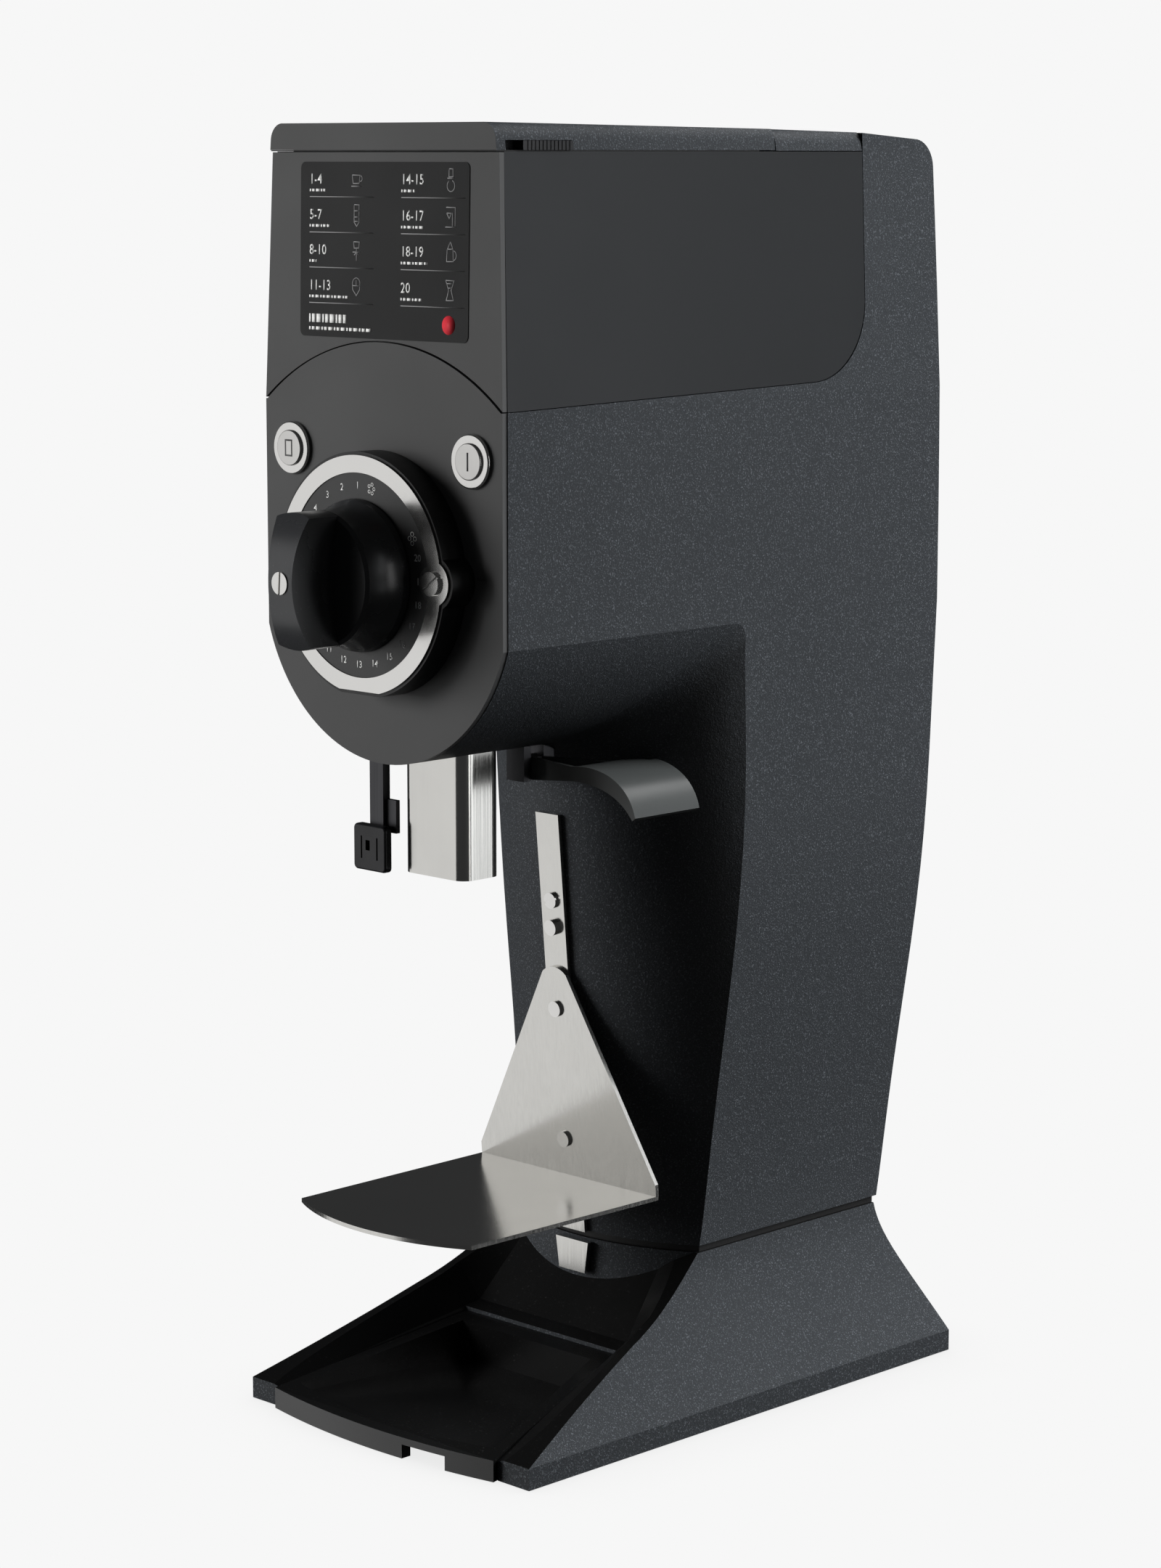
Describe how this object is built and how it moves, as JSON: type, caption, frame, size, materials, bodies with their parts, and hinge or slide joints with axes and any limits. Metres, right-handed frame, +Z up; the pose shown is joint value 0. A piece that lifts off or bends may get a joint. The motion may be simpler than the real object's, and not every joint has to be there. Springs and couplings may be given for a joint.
{
  "type": "coffee grinder",
  "caption": "Tall shop coffee grinder with flared base, built-in bean hopper, grind dial with knob, discharge spout, bag shelf on a rail, bag clamp and grounds tray.",
  "frame": {"origin": "centre of the outline on the surface it stands on", "axes": "+Z up, the dial and spout face -Y, +X is the right-hand side seen from the front"},
  "size_m": [0.1962, 0.3702, 0.626],
  "materials": {
    "casting": "fine textured grey-blue powder coat",
    "front_panel": "matte dark grey",
    "hopper_side": "smooth satin dark grey",
    "lever_grey": "satin dark grey",
    "base_gloss": "gloss black enamel",
    "tray": "gloss black",
    "black_plastic": "satin black",
    "knob_black": "polished black",
    "dial_black": "polished black",
    "dial_plate": "black with pale numbers",
    "label": "black with pale print",
    "rubber": "matte",
    "gasket": "matte grey",
    "stainless": "brushed",
    "satin_steel": "satin",
    "steel": "bright zinc plated",
    "dark_steel": "dark oxide",
    "burr_steel": "hardened, ground",
    "chrome": "polished",
    "machined": "machined",
    "lamination": "varnished",
    "copper": "enamelled wire",
    "white_plastic": "natural nylon"
  },
  "bodies": {
    "housing": {"housing_casting": "casting", "rear_cover": "casting", "power_inlet": "black_plastic", "power_switch": "black_plastic", "base_casting": "base_gloss", "base_bottom_plate": "steel", "rubber_feet": "rubber", "neck_gasket": "gasket", "front_plate": "front_panel", "hopper_shell": "hopper_side", "bean_funnel": "stainless", "hopper_front_panel": "front_panel", "grind_chart": "label", "lid_hinge_pin": "steel", "hopper_bridge": "casting", "stop_button_bezel": "chrome", "stop_button_nut": "steel", "start_button_bezel": "chrome", "start_button_nut": "steel", "dial_housing": "dial_black", "dial_trim": "chrome", "dial_face": "dial_plate", "dial_screws": "chrome", "grinding_chamber": "machined", "fixed_burr": "burr_steel", "front_bearing": "chrome", "rear_bearing": "chrome", "motor_frame": "machined", "front_shield": "machined", "rear_shield": "machined", "motor_stator": "lamination", "motor_windings": "copper", "electrics_plate": "steel", "run_capacitor": "machined", "terminal_block": "white_plastic", "spout_chute": "stainless", "knocker_pivot": "steel", "bag_lever_pivot": "dark_steel", "support_rail": "stainless", "rail_screws": "chrome", "rail_foot": "stainless"},
    "knob": {"grind_knob": "knob_black", "knob_screw": "chrome", "adjusting_spindle": "steel"},
    "grinder_spindle": {"grinder_shaft": "steel", "moving_burr": "burr_steel", "burr_carrier": "machined", "feed_auger": "steel", "motor_rotor": "lamination", "motor_fan": "black_plastic"},
    "stop_button": {"stop_button_cap": "satin_steel"},
    "start_button": {"start_button_cap": "satin_steel"},
    "lid": {"hopper_lid": "casting"},
    "latch": {"lid_latch": "black_plastic"},
    "knocker": {"knocker_arm": "dark_steel", "knocker_handle": "black_plastic"},
    "clamp_lever": {"bag_lever": "lever_grey"},
    "shelf": {"bag_shelf": "stainless", "shelf_studs": "chrome"},
    "tray": {"grounds_tray": "tray"}
  },
  "joints": [
    {"name": "grind_adjust", "type": "hinge", "parent": "housing", "child": "knob", "pos_m": [0, -0.14, 0.42], "axis": [0, -1, 0], "range_deg": [0, 285]},
    {"name": "burr_spin", "type": "hinge", "parent": "housing", "child": "grinder_spindle", "pos_m": [0, 0, 0.42], "axis": [0, -1, 0], "continuous": true},
    {"name": "stop_press", "type": "slide", "parent": "housing", "child": "stop_button", "axis": [0, 1, 0], "range_m": [0, 0.0025], "stiffness_N_per_m": 400},
    {"name": "start_press", "type": "slide", "parent": "housing", "child": "start_button", "axis": [0, 1, 0], "range_m": [0, 0.0025], "stiffness_N_per_m": 400},
    {"name": "lid_open", "type": "hinge", "parent": "housing", "child": "lid", "pos_m": [0, 0.0605, 0.6216], "axis": [-1, 0, 0], "range_deg": [0, 100]},
    {"name": "latch_slide", "type": "slide", "parent": "lid", "child": "latch", "axis": [0, -1, 0], "range_m": [0, 0.0085]},
    {"name": "knocker_swing", "type": "hinge", "parent": "housing", "child": "knocker", "pos_m": [-0.034, -0.0937, 0.356], "axis": [0, 1, 0], "range_deg": [0, 10]},
    {"name": "clamp_lift", "type": "hinge", "parent": "housing", "child": "clamp_lever", "pos_m": [0.011, -0.0379, 0.321], "axis": [0, -1, 0], "range_deg": [0, 12]},
    {"name": "shelf_height", "type": "slide", "parent": "housing", "child": "shelf", "axis": [0, -0.0878, 0.9961], "range_m": [-0.02, 0.012]},
    {"name": "tray_pull", "type": "slide", "parent": "housing", "child": "tray", "axis": [0, -1, 0], "range_m": [0, 0.1]}
  ]
}
